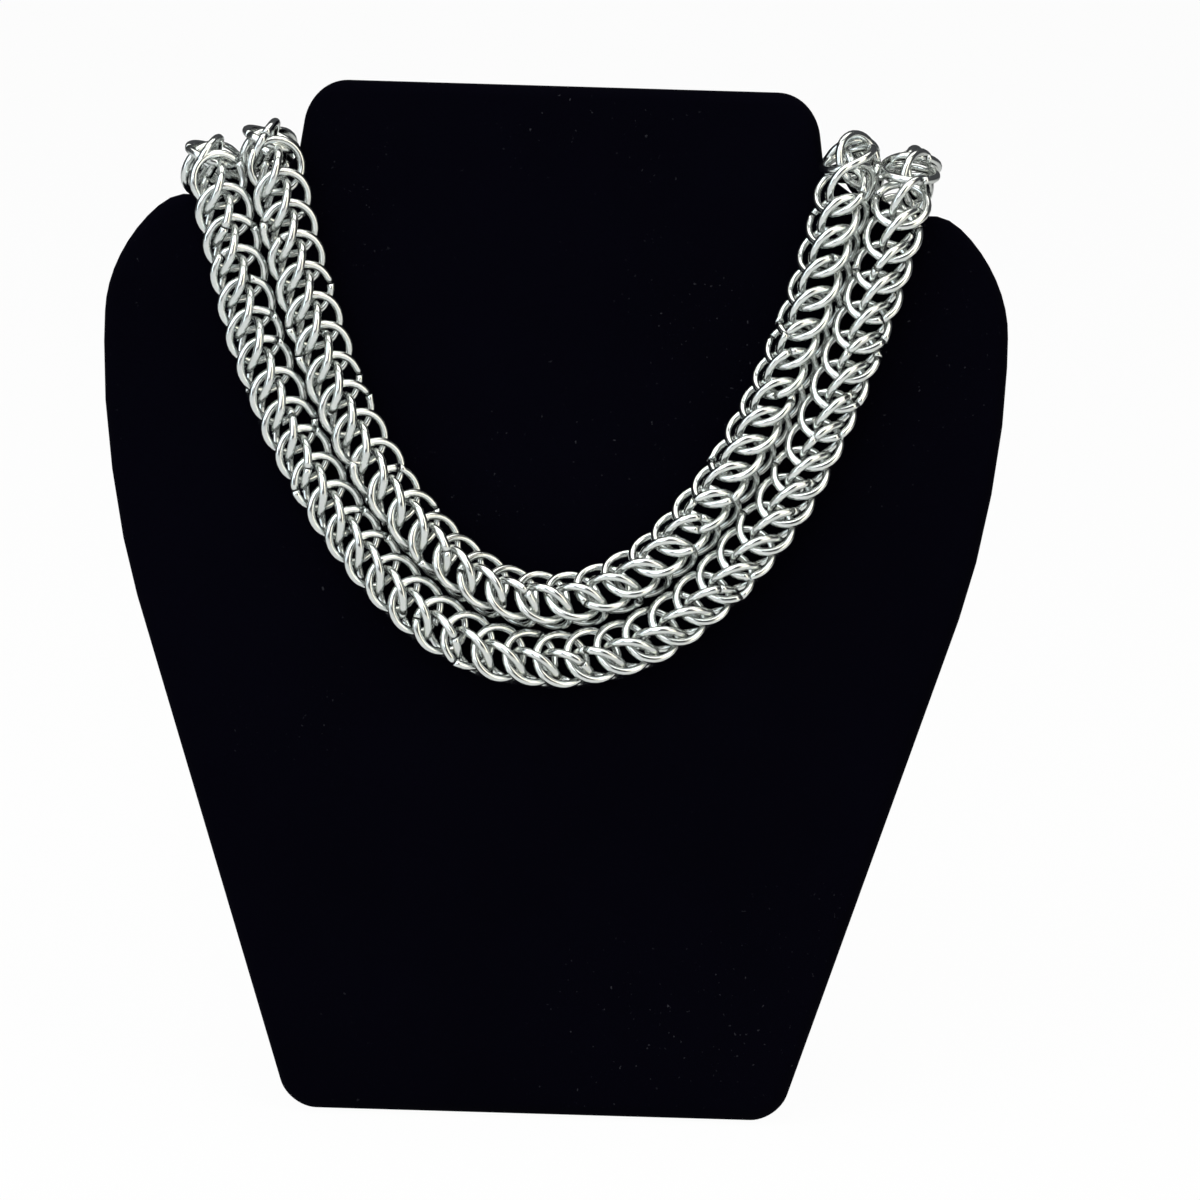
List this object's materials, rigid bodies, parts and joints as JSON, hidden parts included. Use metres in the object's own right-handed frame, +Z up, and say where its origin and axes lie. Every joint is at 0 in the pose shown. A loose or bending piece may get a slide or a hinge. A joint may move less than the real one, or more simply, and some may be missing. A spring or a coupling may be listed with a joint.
{
  "type": "double chainmail necklace on a flat neck bust stand",
  "caption": "Two rows of round chainmail in polished steel rings, draped over the shoulders of a flat padded black velvet bust board with an easel strut.",
  "frame": {"origin": "on the table, under the middle of the whole model's bounding box", "axes": "+Z up, +X to the viewer's right, the front of the board faces -Y and leans back towards +Y"},
  "size_m": [0.1872, 0.09, 0.2087],
  "materials": {
    "black_velvet": "short black velvet pile over padding",
    "black_card": "matt black covered card",
    "ring_steel": "polished",
    "clasp_steel": "polished"
  },
  "bodies": {
    "root": {"display_board": "black_velvet", "easel_strut": "black_card", "outer_strand": "ring_steel", "inner_strand": "ring_steel", "clasp": "clasp_steel"}
  },
  "joints": []
}
